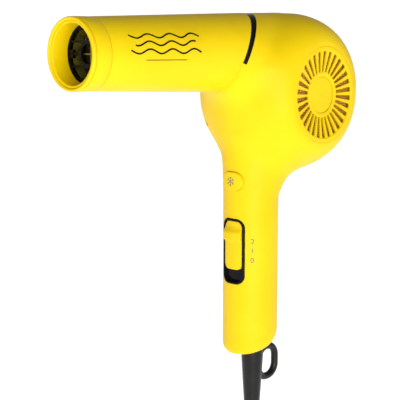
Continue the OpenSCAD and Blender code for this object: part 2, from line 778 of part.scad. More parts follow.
heater_routes = [
  [[1, -3, -126], [3, -6, -121], [4, -9, -114], [4, -11.5, -104], [3, -12, -92], [1, -13.2, -82],
   [-2, -15.9, -72], [-4.8, -20, -62], [-5.8, -22, -52], [-7, -22, -40], [-11, -20, -29],
   [-19, -17.6, -20], [-29, -15.4, -12], [-41, -13.6, -5], [-53, -13, -1.4], [-59.8, -13, 0]],
  [[1, 3, -136], [4, 6, -129], [4.6, 9, -120], [4.6, 11, -108], [3.6, 12, -94], [1, 13.2, -82],
   [-2, 15.9, -72], [-4.8, 20, -62], [-5.8, 22, -52], [-7, 22, -40], [-11, 20, -29],
   [-19, 17.6, -20], [-29, 15.4, -12], [-41, 13.6, -5], [-53, 13, -1.4], [-59.8, 13, 0]]
];
module heater_wires() color("#b8b8ae") lifted() for (route = heater_routes) tube(route, wire_r);

motor_routes = [
  [[9.8, 6.5, -124], [10, 7.6, -116], [9.6, 9, -104], [9, 12, -92], [9, 17, -80], [9.6, 22, -70],
   [11, 25.4, -60], [14, 28.4, -52], [17, 32, -47.4], [19.4, 34, -44], [22, 34.2, -41],
   [23.8, 34.2, -39.4], [24.2, 33.6, -38.9], [24.2, 32.7, -38.9]],
  [[9.8, 9.4, -124], [11.4, 10.4, -114], [10.8, 12, -102], [11.6, 14.2, -90], [13, 19.4, -79],
   [14.6, 24.4, -69], [17, 27.6, -60], [20, 30, -53], [22.6, 33, -48.4], [24.6, 34.2, -45],
   [30, 34.6, -43.4], [34, 34.2, -40.2], [34.8, 33.6, -39], [34.8, 32.7, -39]]
];
module motor_wires() color("#a33a2c") lifted() for (route = motor_routes) tube(route, wire_r);

module cord_jacket() color(black) lifted() translate([cord_x, 0, relief_top]) cylinder(r = cord_r, h = 18);

module cord_clamp() color("#3a3a38") lifted() difference() {
  block([cord_x - 12.5, -3.5, -192], [cord_x + 12.5, 3.5, -185]);
  translate([cord_x, 0, -193]) cylinder(r = cord_r + 0.05, h = 9);
  for (s = [-8.2, 8.2]) pin_y([cord_x + s, -188.5], 1.3, -4, 4, 24);
}

module clamp_screws() color(steel) lifted() for (s = [-8.2, 8.2]) {
  pin_y([cord_x + s, -188.5], 1.25, -3.5, 6, 24);
  pin_y([cord_x + s, -188.5], 2.4, -5.2, -3.5, 24);
}

module strain_relief() color(black) lifted() {
  difference() {
    union() {
      translate([cord_x, 0, 0]) rotate_extrude() polygon(concat(
        [[0, relief_top], [10.4, relief_top], [10.4, -200.6], [8.2, -200.6]], relief_shape, [[0, relief_end]]
      ));
      translate([loop_x, 0, loop_z]) along_y(-loop_t / 2, loop_t / 2)
        rounded(2 * loop_half[0], 2 * loop_half[1], 11.5);
    }
    translate([loop_x, 0, loop_z]) along_y(-loop_t, loop_t)
      rounded(2 * (loop_half[0] - loop_t), 2 * (loop_half[1] - loop_t), 6.6);
  }
}

module cord_tube() color(black) lifted() {
  tube(cord_drop, cord_r);
  tube(tail_route, cord_r);
}

module cord_coil() color(black) lifted() translate([cord_x, 0, coil_z]) rotate([90, 0, 0])
  rotate_extrude($fn = smooth_fn) translate([coil_mid_r, 0])
    square([2 * (coil_outer - coil_mid_r), 2 * coil_half_y], center = true);

module coil_tie() color("#2e2e2e") lifted() translate([cord_x, 0, coil_z]) rotate([0, 60, 0]) {
  r0 = 2 * coil_mid_r - coil_outer;
  difference() {
    block([-5, -coil_half_y - 1.6, r0 - 1.8], [5, coil_half_y + 1.6, coil_outer + 1.6]);
    block([-6, -coil_half_y - gap, r0 - 1.2], [6, coil_half_y + gap, coil_outer + gap]);
  }
}

module plug_body() color(black) lifted() translate([plug_x, plug_y, plug_z]) {
  translate([0, 0, -12]) rotate_extrude($fn = 32) polygon([[0, 0], [7.4, 0], [5.2, 12], [0, 12]]);
  translate([0, 0, -plug_h]) linear_extrude(plug_h - 10) rounded(17, 33, 8);
}

module plug_pins() color(steel) lifted() for (s = [-1, 1])
  translate([plug_x, plug_y + s * pin_gap / 2, plug_z - plug_h - pin_h]) {
    translate([0, 0, 1]) cylinder(r = pin_r, h = pin_h - 1, $fn = 32);
    cylinder(r1 = pin_r - 0.9, r2 = pin_r, h = 1, $fn = 32);
  }

body_shell_left();
body_shell_right();
accent_band();
barrel_tube();
front_collar();
outlet_rim();
outlet_grille();
mica_sleeve();
mica_boards();
heater_coils();
heater_terminals();
thermal_cutout();
thermal_fuse();
intake_grille_left();
intake_grille_right();
grille_cap_left();
grille_cap_right();
dust_screen_left();
dust_screen_right();
scroll_housing();
impeller();
motor_shaft();
armature();
commutator();
motor_case();
motor_magnets();
motor_end_cap();
front_bearing();
rear_bearing();
carbon_brushes();
motor_bracket();
bracket_bushes();
bracket_screws();
casing_screws();
cool_button();
cool_button_spring();
cool_switch();
switch_bezel();
speed_slider();
slide_switch();
switch_carriage();
switch_terminals();
suppression_capacitor();
rectifier_board();
rectifier_diodes();
supply_wires();
heater_wires();
motor_wires();
cord_jacket();
cord_clamp();
clamp_screws();
strain_relief();
cord_tube();
cord_coil();
coil_tie();
plug_body();
plug_pins();
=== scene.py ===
"""A pistol-grip hair dryer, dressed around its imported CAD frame.

Shapes are worked out in millimetres from the middle of the barrel's axis above the handle,
and go into the scene in metres, lifted so that the origin is in the middle of the grip.
"""

import math

import bmesh
import bpy
import numpy as np
from mathutils import Matrix, Vector


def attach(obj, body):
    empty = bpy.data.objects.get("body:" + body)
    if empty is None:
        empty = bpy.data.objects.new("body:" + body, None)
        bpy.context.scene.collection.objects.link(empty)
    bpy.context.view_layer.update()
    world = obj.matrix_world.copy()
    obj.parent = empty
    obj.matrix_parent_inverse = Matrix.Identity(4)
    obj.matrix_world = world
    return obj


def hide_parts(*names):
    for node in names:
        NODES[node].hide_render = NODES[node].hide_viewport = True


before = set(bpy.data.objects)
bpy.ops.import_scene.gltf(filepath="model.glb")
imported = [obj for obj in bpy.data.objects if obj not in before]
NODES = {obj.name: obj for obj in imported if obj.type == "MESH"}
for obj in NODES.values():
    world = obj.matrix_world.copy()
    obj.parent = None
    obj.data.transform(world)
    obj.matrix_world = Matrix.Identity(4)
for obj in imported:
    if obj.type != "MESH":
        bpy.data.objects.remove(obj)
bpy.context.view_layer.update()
MM = 0.001
LIFT = 140.0
BARREL_R, BARREL_TAPER = 28, 0.0361
MOUTH_X, COLLAR_X = -154, -149.4
DRUM_X, DRUM_Z = 29.3, -29.3
DRUM_R, DRUM_HALF = 57.8, 43.3
GRILLE_R, INTAKE_R = 34.0, 32.0
SEAM_R = 71.0
WALL, HALF_GAP = 2.2, 0.02
GRIP_R = 20
BUTTON_Z, BUTTON_HALF = -90, 2.4
SWITCH_Z = -140.6
CORD_X, CORD_R = 2.8, 3.8


# ---------- camera and stage ----------

def vec(*v):
    return Vector(v)


TARGET = vec(-0.0526, 0.0, 0.0401)
BACK = vec(-0.7063, -0.6916, 0.1511).normalized()
camera = bpy.data.objects.new("camera", bpy.data.cameras.new("camera"))
camera.data.lens = 91.8
camera.data.sensor_width = 36.0
camera.data.clip_start = 0.01
camera.location = TARGET + 0.701 * BACK
camera.rotation_euler = BACK.to_track_quat("Z", "Y").to_euler()
bpy.context.scene.collection.objects.link(camera)
bpy.context.scene.camera = camera


# ---------- materials ----------

def shader(name):
    """A node material, its nodes and links, and its Principled shader."""
    mat = bpy.data.materials.new(name)
    mat.use_nodes = True
    return mat, mat.node_tree.nodes, mat.node_tree.links, mat.node_tree.nodes["Principled BSDF"]


def noise(nodes, links, scale, detail=3.0, stretch=(1, 1, 1)):
    coord = nodes.new("ShaderNodeTexCoord")
    place = nodes.new("ShaderNodeMapping")
    place.inputs["Scale"].default_value = stretch
    tex = nodes.new("ShaderNodeTexNoise")
    tex.inputs["Scale"].default_value = scale
    tex.inputs["Detail"].default_value = detail
    links.new(coord.outputs["Object"], place.inputs["Vector"])
    links.new(place.outputs["Vector"], tex.inputs["Vector"])
    return tex.outputs["Fac"]


def ramp(nodes, links, source, low, high, start=0.35, end=0.65):
    """Two colours, or two grey levels, spread over a texture's range."""
    node = nodes.new("ShaderNodeValToRGB")
    for element, place, colour in zip(node.color_ramp.elements, (start, end), (low, high)):
        element.position = place
        element.color = (*colour, 1) if isinstance(colour, tuple) else (colour,) * 3 + (1,)
    links.new(source, node.inputs["Fac"])
    return node.outputs["Color"]


def bump(nodes, links, bsdf, source, height, strength=0.5):
    node = nodes.new("ShaderNodeBump")
    node.inputs["Strength"].default_value = strength
    node.inputs["Distance"].default_value = height
    links.new(source, node.inputs["Height"])
    links.new(node.outputs["Normal"], bsdf.inputs["Normal"])


def moulded(name, low, high, rough, grain=2600.0, height=0.00002, coat=0.0, coat_rough=0.1,
            metallic=0.0, specular=0.5, patch=28.0, stretch=(1, 1, 1)):
    """Moulded, cast or drawn stuff: cloudy colour, uneven gloss and a fine surface grain."""
    mat, nodes, links, bsdf = shader(name)
    cloud = noise(nodes, links, patch, 4.0)
    links.new(ramp(nodes, links, cloud, low, high), bsdf.inputs["Base Color"])
    wear = noise(nodes, links, patch * 5, 5.0, stretch)
    links.new(ramp(nodes, links, wear, rough[0], rough[1]), bsdf.inputs["Roughness"])
    bump(nodes, links, bsdf, noise(nodes, links, grain, 2.0, stretch), height)
    bsdf.inputs["Metallic"].default_value = metallic
    bsdf.inputs["Specular IOR Level"].default_value = specular
    bsdf.inputs["Coat Weight"].default_value = coat
    bsdf.inputs["Coat Roughness"].default_value = coat_rough
    return mat


YELLOW = moulded("yellow_satin", (0.80, 0.53, 0.001), (0.85, 0.57, 0.002), (0.43, 0.5),
                 grain=1500, height=0.000012, coat=0.02, coat_rough=0.25, specular=0.16)
GLOSS = moulded("black_gloss", (0.003, 0.003, 0.0035), (0.006, 0.006, 0.007), (0.05, 0.09),
                grain=900, height=0.000004, coat=0.02, coat_rough=0.03, specular=0.08)
MATTE = moulded("black_matte", (0.002, 0.002, 0.002), (0.005, 0.005, 0.005), (0.4, 0.55),
                specular=0.12)
RUBBER = moulded("black_rubber", (0.004, 0.004, 0.004), (0.008, 0.008, 0.008), (0.24, 0.34),
                 grain=1900, height=0.00002, specular=0.25)
INK = moulded("print_black", (0.006, 0.006, 0.006), (0.012, 0.011, 0.008), (0.4, 0.5), grain=3200,
              specular=0.1)
PALE = moulded("print_grey", (0.11, 0.13, 0.12), (0.15, 0.17, 0.16), (0.5, 0.6), grain=3200,
               specular=0.2)
MICA = moulded("mica", (0.15, 0.12, 0.012), (0.25, 0.20, 0.025), (0.45, 0.65), grain=500,
               height=0.00008, patch=160, stretch=(0.4, 1, 1))
BRONZE = moulded("bronze_wire", (0.72, 0.30, 0.03), (0.95, 0.42, 0.06), (0.35, 0.5),
                 grain=2500, metallic=0.3, patch=90)
METALS = {
    "steel": ((0.42, 0.43, 0.44), (0.56, 0.57, 0.58)),
    "heater_wire": ((0.07, 0.06, 0.05), (0.12, 0.10, 0.08)),
    "brass": ((0.62, 0.43, 0.14), (0.74, 0.54, 0.2)),
    "copper": ((0.62, 0.27, 0.13), (0.74, 0.36, 0.2)),
    "brass_plated": ((0.66, 0.63, 0.55), (0.78, 0.75, 0.68)),
}
STUFF = {
    "grey_plastic": ((0.05, 0.05, 0.048), (0.08, 0.08, 0.076)),
    "board": ((0.03, 0.10, 0.035), (0.05, 0.15, 0.05)),
    "capacitor_yellow": ((0.55, 0.38, 0.05), (0.66, 0.47, 0.08)),
    "wire_insulation": ((0.42, 0.10, 0.04), (0.52, 0.14, 0.06)),
    "ferrite": ((0.03, 0.03, 0.032), (0.055, 0.055, 0.058)),
}
FINISH = {
    "yellow_shell": YELLOW,
    "black_gloss": GLOSS,
    "black_matte": MATTE,
    "black_rubber": RUBBER,
    "mica": MICA,
    "bronze_mesh": BRONZE,
}
for slot_name, (low, high) in METALS.items():
    FINISH[slot_name] = moulded(slot_name + "_metal", low, high, (0.25, 0.42), metallic=1.0,
                                patch=120, grain=1800, stretch=(1, 6, 1))
for slot_name, (low, high) in STUFF.items():
    FINISH[slot_name] = moulded(slot_name + "_stuff", low, high, (0.4, 0.6), patch=90)


# ---------- making pieces ----------

def lifted(points):
    """Millimetres from the barrel's axis, as metres in the frame."""
    return (np.asarray(points, float) + (0, 0, LIFT)) * MM


def piece(name, points, faces, slot, mat, nodes=(), body="casing", sharp=35.0):
    """A mesh piece that rides on a body and stands for the CAD nodes named."""
    mesh = bpy.data.meshes.new(name)
    mesh.from_pydata(lifted(points).tolist(), [], [list(map(int, f)) for f in faces])
    mesh.update()
    mesh.shade_smooth()
    if sharp:
        mesh.set_sharp_from_angle(angle=math.radians(sharp))
    mesh.materials.append(mat)
    obj = bpy.data.objects.new(name, mesh)
    bpy.context.scene.collection.objects.link(obj)
    enter(obj, nodes, body)
    return obj


def enter(obj, nodes=(), body="casing"):
    """Says which body and CAD nodes a piece goes with."""
    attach(obj, body)
    if nodes:
        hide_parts(*nodes)


def turned(profile, axis, sides=144):
    """Points and faces of a closed outline of [radius, place] turned about x or the drum's axis."""
    outline = np.asarray(profile, float)
    count = len(outline)
    points = []
    for k in range(sides):
        a = 2 * math.pi * k / sides
        c, s = math.cos(a), math.sin(a)
        for r, at in outline:
            if axis == "x":
                points.append((at, r * c, r * s))
            else:
                points.append((DRUM_X + r * s, at, DRUM_Z + r * c))
    faces = []
    for k in range(sides):
        for i in range(count):
            a, b = k * count + i, k * count + (i + 1) % count
            c, d = ((k + 1) % sides) * count + (i + 1) % count, ((k + 1) % sides) * count + i
            faces.append((a, b, c, d))
    return points, faces


def outward(obj):
    """Turns every face's normal outwards."""
    bm = bmesh.new()
    bm.from_mesh(obj.data)
    bmesh.ops.recalc_face_normals(bm, faces=bm.faces)
    bm.to_mesh(obj.data)
    bm.free()
    return obj


# ---------- cord ----------

def smooth(t):
    t = min(max(t, 0.0), 1.0)
    return t * t * (3 - 2 * t)


COIL_Z = -378


def coil_point(turn):
    """A point of the coil after so many degrees, clockwise from where the cord joins it."""
    rows = [(49.8, -3.9), (42.0, -3.9), (34.2, -3.9), (34.2, 3.9), (42.0, 3.9), (49.8, 3.9)]
    step = int(max(0, min(4, (turn - 110) // 360)))
    share = smooth((turn - 290 - 360 * step) / 55)
    (r0, y0), (r1, y1) = rows[step], rows[step + 1]
    r, y = r0 + (r1 - r0) * share, y0 + (y1 - y0) * share
    a = math.radians(32.3 - turn)
    return (CORD_X + r * math.cos(a), y, COIL_Z + r * math.sin(a))


CORD = [
    (2.8, 0, -272), (2.8, 0, -274), (2.8, 0, -276), (3.0, 0, -278.8), (3.3, 0, -281.6),
    (4.0, 0, -284.4), (4.9, -0.1, -287), (6.0, -0.2, -289.5), (7.4, -0.3, -292),
    (11.9, -0.8, -299.1), (16.4, -1.4, -306.2), (20.8, -2.1, -313.2), (25.3, -2.8, -320.3),
    (29.8, -3.4, -327.4), (34.3, -3.8, -334.5), (38.6, -3.9, -341.4), (42.0, -3.9, -346.8),
]
CORD += [coil_point(8.0 * k) for k in range(275)]
CORD += [(52.6, 3.9, -378), (52.6, 3.9, -385), (52.6, 3.9, -392), (52.6, 3.9, -400),
         (52.6, 3.9, -410), (52.6, 3.9, -418)]
curve = bpy.data.curves.new("mains_cord", "CURVE")
curve.dimensions = "3D"
curve.bevel_depth = CORD_R * MM
curve.bevel_resolution = 4
curve.use_fill_caps = True
spline = curve.splines.new("POLY")
spline.points.add(len(CORD) - 1)
for knot, at in zip(spline.points, lifted(CORD)):
    knot.co = (*at, 1)
spline.use_smooth = True
curve.materials.append(RUBBER)
cord = bpy.data.objects.new("mains_cord", curve)
bpy.context.scene.collection.objects.link(cord)
enter(cord, ("cord_tube", "cord_coil"))


# ---------- smooth solids ----------

def melt(a, b, k):
    """Union of two fields with a fillet about k wide."""
    h = np.clip(0.5 + 0.5 * (b - a) / k, 0, 1)
    return b * (1 - h) + a * h - k * h * (1 - h)


def both(a, b, k):
    """Intersection of two fields with an edge rounded over about k."""
    return -melt(-a, -b, k)


def slope(field, points, h=0.04):
    """The field's gradient, by differences h either way."""
    grad = np.empty_like(points)
    for i in range(3):
        off = np.zeros(3)
        off[i] = h
        high, low = points + off, points - off
        grad[:, i] = (field(*high.T) - field(*low.T)) / (2 * h)
    return grad


def settle(field, points, reach, rounds=5):
    """Moves points along the field's slope onto its surface."""
    for _ in range(rounds):
        grad = slope(field, points)
        size = np.maximum((grad ** 2).sum(1), 1e-6)
        move = grad * (field(*points.T) / size)[:, None]
        length = np.linalg.norm(move, axis=1, keepdims=True)
        points = points - move * np.minimum(1, reach / np.maximum(length, 1e-9))
    return points


def relax(points, quads):
    """Moves each point halfway to the mean of its neighbours."""
    total = np.zeros_like(points)
    count = np.zeros(len(points))
    for i in range(4):
        a, b = quads[:, i], quads[:, (i + 1) % 4]
        np.add.at(total, a, points[b])
        np.add.at(count, a, 1)
        np.add.at(total, b, points[a])
        np.add.at(count, b, 1)
    return 0.5 * points + 0.5 * total / np.maximum(count, 1)[:, None]


CORNERS = [(i, j, k) for i in (0, 1) for j in (0, 1) for k in (0, 1)]
EDGES = [(a, b) for a in CORNERS for b in CORNERS
         if sum(abs(p - q) for p, q in zip(a, b)) == 1 and a < b]


def net(field, low, high, step, passes=3):
    """Quads over the surface where a field is nought: surface nets, then pulled onto it."""
    low = np.asarray(low, float)
    sizes = np.ceil((np.asarray(high, float) - low) / step).astype(int) + 1
    grid = np.meshgrid(*[low[i] + step * np.arange(sizes[i]) for i in range(3)], indexing="ij")
    value = field(*grid)
    inside = value < 0
    spans = [[slice(c[i], sizes[i] - 1 + c[i]) for i in range(3)] for c in CORNERS]
    filled = sum(inside[tuple(s)].astype(int) for s in spans)
    mixed = (filled > 0) & (filled < 8)
    names = np.full(mixed.shape, -1)
    names[mixed] = np.arange(mixed.sum())
    cells = np.stack(np.nonzero(mixed), 1)
    total = np.zeros((len(cells), 3))
    count = np.zeros(len(cells))
    for a, b in EDGES:
        fa = value[tuple((cells + a).T)]
        fb = value[tuple((cells + b).T)]
        cross = (fa < 0) != (fb < 0)
        part = np.where(cross, fa / np.where(fa == fb, 1, fa - fb), 0)
        total += cross[:, None] * (np.array(a) + (np.array(b) - np.array(a)) * part[:, None])
        count += cross
    points = low + step * (cells + total / count[:, None])
    quads = []
    for axis in range(3):
        u, v = (axis + 1) % 3, (axis + 2) % 3
        first = [slice(1, -1)] * 3
        second = [slice(1, -1)] * 3
        first[axis], second[axis] = slice(0, -1), slice(1, None)
        a, b = inside[tuple(first)], inside[tuple(second)]
        where = np.stack(np.nonzero(a != b), 1)
        solid = a[a != b]
        where[:, u] += 1
        where[:, v] += 1
        ring = []
        for du, dv in ((-1, -1), (0, -1), (0, 0), (-1, 0)):
            cell = where.copy()
            cell[:, u] += du
            cell[:, v] += dv
            ring.append(names[tuple(cell.T)])
        ring = np.stack(ring, 1)
        quads.append(np.where(solid[:, None], ring, ring[:, ::-1]))
    quads = np.concatenate(quads)
    points = settle(field, points, step * 0.5)
    for _ in range(passes):
        points = settle(field, relax(points, quads), step * 0.5, 3)
    return points, quads


def stadium(y, z, half, r):
    """Distance from a slot shape with its centres at y of -half and half."""
    return np.hypot(np.maximum(np.abs(y) - half, 0), z) - r


def rounded_box(u, v, half_u, half_v, r):
    """Distance from a rectangle with corners of radius r."""
    a, b = np.abs(u) - half_u + r, np.abs(v) - half_v + r
    return np.hypot(np.maximum(a, 0), np.maximum(b, 0)) + np.minimum(np.maximum(a, b), 0) - r


# ---------- casing ----------

def drum(x, y, z):
    """A flat-faced drum whose rounded wall grows fuller towards its top."""
    face = 33.9
    rise = 23.9
    power = 1.7 + 0.5 * np.clip((z - DRUM_Z) / DRUM_R, 0, 1)
    q = np.maximum(np.hypot(x - DRUM_X, z - DRUM_Z) - face, 1e-4) / rise
    s = np.maximum(np.abs(y), 1e-4) / DRUM_HALF
    total = q ** power + s ** power
    dq = q ** (power - 1) * total ** (1 / power - 1) / rise
    ds = s ** (power - 1) * total ** (1 / power - 1) / DRUM_HALF
    return (total ** (1 / power) - 1) / np.hypot(dq, ds)


def casing(x, y, z):
    """The outer form: barrel, neck, drum, shoulder and handle, run together."""
    barrel = np.maximum(np.hypot(y, z) - BARREL_R - BARREL_TAPER * x, x - 22)
    barrel = both(barrel, MOUTH_X - x, 1.0)
    t = np.clip((x + 42) / 48, 0, 1)
    neck = np.hypot(y, z + 9 * t) - (26.3 + 6.7 * t)
    neck = np.maximum(np.maximum(neck * 0.98, x - 22), -50 - x)
    neck = neck + 5 * np.clip((np.hypot(x - DRUM_X, z - DRUM_Z) - 60) / 11, 0, 1) ** 2
    t = np.clip((z + 103) / 27, 0, 1.3)
    shoulder = (np.hypot(x - 8.5 * t, y) - 19.4 - 6 * t) * 0.96
    shoulder = np.maximum(np.maximum(shoulder, z + 62), -106 - z)
    handle = np.maximum(np.hypot(x, y) - GRIP_R, z + 60)
    foot = (-218.5 + (x + GRIP_R) * 0.2586 - z) * 0.968
    handle = both(handle, foot, np.clip(9 + 0.15 * x, 6, 12))
    form = melt(drum(x, y, z), shoulder, 12)
    form = melt(form, handle, 0.6 + 3.4 * np.clip((z + 103) / 25, 0, 1))
    form = melt(form, melt(barrel, neck, 3), 3 + 8 * np.clip(0.5 - z / 20, 0, 1))
    return both(form, z - 28.45, 1.5)


SCREWS = [(-12.94, -49.9), (63.24, -63.24), (-9, -180)]


def inner_casing(x, y, z):
    """The hollow: the outer form less its wall and less the right half's screw bosses."""
    hollow = casing(x, y, z) + WALL
    for at_x, at_z in SCREWS:
        boss = np.maximum(np.hypot(x - at_x, z - at_z) - 4.6, 1 - y)
        hollow = both(hollow, -boss, 0.6)
    return hollow


def blank(name, points, faces):
    """A working mesh object in millimetres."""
    mesh = bpy.data.meshes.new(name)
    mesh.from_pydata(np.asarray(points).tolist(), [], [list(map(int, f)) for f in faces])
    mesh.update()
    obj = bpy.data.objects.new(name, mesh)
    bpy.context.scene.collection.objects.link(obj)
    return obj


def combine(obj, cutter, how, name):
    """A new mesh object: obj with cutter taken off, or where both are."""
    mod = obj.modifiers.new("cut", "BOOLEAN")
    mod.operation = how
    mod.solver = "EXACT"
    mod.object = cutter
    done = obj.evaluated_get(bpy.context.evaluated_depsgraph_get())
    mesh = bpy.data.meshes.new_from_object(done)
    obj.modifiers.remove(mod)
    result = bpy.data.objects.new(name, mesh)
    bpy.context.scene.collection.objects.link(result)
    return result


def prism(outline, axis, start, end):
    """Closed mesh of an outline pushed along y or x; the outline runs either way round."""
    n = len(outline)
    points = []
    for at in (start, end):
        for u, v in outline:
            points.append((u, at, v) if axis == "y" else (at, u, v) if axis == "x" else (u, v, at))
    faces = [list(range(n)), list(range(2 * n - 1, n - 1, -1))]
    faces += [(i, i + n, (i + 1) % n + n, (i + 1) % n) for i in range(n)]
    return points, faces


def arc(cx, cy, r, a0, a1, n):
    """Points on a circle from one angle to another, in n steps."""
    return [(cx + r * math.cos(math.radians(a0 + (a1 - a0) * i / n)),
             cy + r * math.sin(math.radians(a0 + (a1 - a0) * i / n))) for i in range(n + 1)]


def joined(*parts):
    """Several lots of points and faces as one."""
    points, faces = [], []
    for p, f in parts:
        base = len(points)
        points += [tuple(q) for q in p]
        faces += [[i + base for i in face] for face in f]
    return points, faces


def cutter(name, *parts):
    """A closed mesh to cut with; its parts don't touch."""
    return outward(blank(name, *joined(*parts)))


def round_rect(w, h, r, cx=0.0, cy=0.0):
    points = []
    for sx, sy, a in ((1, 1, 0), (-1, 1, 90), (-1, -1, 180), (1, -1, 270)):
        points += arc(cx + sx * (w / 2 - r), cy + sy * (h / 2 - r), r, a, a + 90, 12)
    return points


outer = blank("outer", *net(casing, (-157, -47, -224), (90, 47, 34), 2.3))
inner = blank("inner", *net(inner_casing, (-160, -47, -224), (90, 47, 34), 2.6, 1))
shell = combine(outer, inner, "DIFFERENCE", "shell")

# Round the drum's centre: the barrel's end, the band's outer and inner edges, the shell's step
barrel_seam, band_seam, band_edge, step = [
    (DRUM_X, DRUM_Z, r) for r in (SEAM_R + 0.12, SEAM_R - 0.05, SEAM_R - 3.6, SEAM_R - 3.7)]
front = cutter("front", prism(
    arc(*barrel_seam, 196.3, 100, 90) + [(COLLAR_X, 45), (COLLAR_X, -49.3)], "y", -60, 60))
strip = cutter("strip", prism(
    arc(*band_seam, 160.9, 100, 60) + arc(*band_edge, 100, 160.9, 60), "y", -60, 60))
away = cutter("away", prism(
    arc(*band_seam, 197, 161.3, 40) + arc(*step, 161.3, 100, 60)
    + [(DRUM_X, 60), (-175, 60), (-175, -50.2)], "y", -60, 60))
openings = cutter(
    "openings",
    *[prism(arc(DRUM_X, DRUM_Z, INTAKE_R, 0, 357.5, 143), "y", s * 30, s * 50) for s in (-1, 1)],
    prism(arc(BUTTON_HALF, BUTTON_Z, 6.95, -90, 90, 24) + arc(-BUTTON_HALF, BUTTON_Z, 6.95, 90, 270, 24),
          "x", -32, -13),
    prism(round_rect(20.2, 47.8, 6.5, 0, SWITCH_Z), "x", -32, -14),
    prism(arc(CORD_X, 0, 8.35, 0, 352.5, 47), "z", -228, -198),
    *[prism(arc(x, z, 3.1, 0, 345, 23), "y", 9, 55) for x, z in SCREWS],
)
seats = cutter("seats", *[prism(arc(DRUM_X, DRUM_Z, GRILLE_R, 0, 357.5, 143),
                                "y", s * (DRUM_HALF - 2), s * 50) for s in (-1, 1)])


def true_normals(obj):
    """Exact shading on the outer form, and flat shading on what was cut."""
    mesh = obj.data
    count = len(mesh.vertices)
    points = np.empty(count * 3)
    mesh.vertices.foreach_get("co", points)
    points = points.reshape(-1, 3)
    grads = slope(casing, points)
    grads /= np.linalg.norm(grads, axis=1, keepdims=True)
    near = np.abs(casing(*points.T)) < 0.03
    normals = np.empty((len(mesh.loops), 3))
    for face in mesh.polygons:
        flat = np.array(face.normal)
        for loop in face.loop_indices:
            v = mesh.loops[loop].vertex_index
            normals[loop] = grads[v] if near[v] and grads[v] @ flat > 0.8 else flat
    mesh.shade_smooth()
    mesh.normals_split_custom_set(normals.tolist())


def dressed(obj, mat, nodes):
    """Shades a part of the casing, brings it into the frame and enters it."""
    true_normals(obj)
    obj.data.transform(Matrix.Scale(MM, 4) @ Matrix.Translation((0, 0, LIFT)))
    obj.data.materials.clear()
    obj.data.materials.append(mat)
    enter(obj, nodes)


barrel = combine(shell, front, "INTERSECT", "barrel")
band = combine(shell, strip, "INTERSECT", "trim_band")
rest = combine(shell, away, "DIFFERENCE", "rest")
bored = combine(rest, openings, "DIFFERENCE", "bored")
body = combine(bored, seats, "DIFFERENCE", "body")
halves = []
for side, name in ((-1, "casing_half_left"), (1, "casing_half_right")):
    box = cutter("box", prism([(-80, -240), (100, -240), (100, 60), (-80, 60)],
                              "y", side * HALF_GAP, side * 70))
    halves.append(combine(body, box, "INTERSECT", name))
    bpy.data.objects.remove(box)
dressed(halves[0], YELLOW, ("body_shell_left",))
dressed(halves[1], YELLOW, ("body_shell_right",))
dressed(barrel, YELLOW, ("barrel_tube",))
dressed(band, GLOSS, ("accent_band",))
for spare in (outer, inner, shell, front, strip, away, openings, seats, rest, bored, body):
    bpy.data.objects.remove(spare)


# ---------- mouth ----------

# Outlines are [radius, x]
RIM = [
    (18.6, -150.6), (18.6, -161.6), (18.75, -162.1), (19.1, -162.4), (19.7, -162.5),
    (20.05, -162.3), (20.2, -162.0), (20.35, -162.2), (20.5, -162.9), (20.9, -163.45),
    (21.4, -163.6), (21.8, -163.55), (22.2, -163.3), (22.42, -162.8), (22.45, -162.2),
    (22.4, -161.2), (22.2, -161.0), (20.2, -161.0), (20.2, -150.6),
]
outward(piece("mouth_rim", *turned(RIM, "x"), "yellow_shell", YELLOW, ("outlet_rim",), sharp=50))
COLLAR = [
    (20.3, -160.7), (22.3, -160.7), (22.5, -160.62), (22.58, -160.4), (22.6, -149.9),
    (22.52, -149.68), (22.4, -149.6), (20.3, -149.6),
]
outward(piece("nozzle_collar", *turned(COLLAR, "x"), "yellow_shell", YELLOW, ("front_collar",),
              sharp=50))


# ---------- controls ----------

def button(x, y, z):
    """The cap, rounded with the handle, on a flange that keeps it in and a stem."""
    cap = both(stadium(y, z - BUTTON_Z, BUTTON_HALF, 6.65), np.abs(x + 19.3) - 3.1, 1.3)
    cap = both(cap, np.hypot(x, y) - 21.9, 0.9)
    flange = both(stadium(y, z - BUTTON_Z, BUTTON_HALF, 8.05), np.abs(x + 16.9) - 0.6, 0.3)
    flange = both(flange, np.hypot(x, y) - 17.5, 0.2)
    stem = both(np.hypot(y, z - BUTTON_Z) - 2.4, np.abs(x + 13.6) - 3.2, 0.3)
    return melt(melt(cap, flange, 0.3), stem, 0.4)


piece("cool_button_cap", *net(button, (-24, -12, -100), (-9, 12, -80), 0.34), "yellow_shell",
      YELLOW, ("cool_button",), "cool_shot_button", sharp=40)


def bezel(x, y, z):
    """The frame round the slider, with a floor that the slider's stem runs through."""
    solid = both(rounded_box(y, z - SWITCH_Z, 10.0, 23.8, 6.4), np.hypot(x, y) - 20.85, 0.8)
    solid = both(solid, x + 15.1, 0.2)
    pocket = np.maximum(rounded_box(y, z - SWITCH_Z, 8.4, 22.2, 4.9), x + 16.4)
    slot = rounded_box(y, z + 141.8, 2.6, 11.0, 1.0)
    return both(both(solid, -pocket, 0.6), -slot, 0.3)


piece("switch_surround", *net(bezel, (-22, -11, -166), (-14, 11, -115), 0.42), "black_gloss", GLOSS,
      ("switch_bezel",), sharp=40)

# The slider's face seen from the side: [z, distance from the handle's axis]
SLIDER_SIDE = [(-153.8, 20.2), (-133.8, 20.3), (-133.0, 20.9), (-132.4, 21.9), (-131.6, 22.1),
               (-127.2, 22.1), (-126.2, 21.8), (-124.5, 20.7), (-122.5, 19.9), (-120.5, 19.6),
               (-118.8, 19.7)]


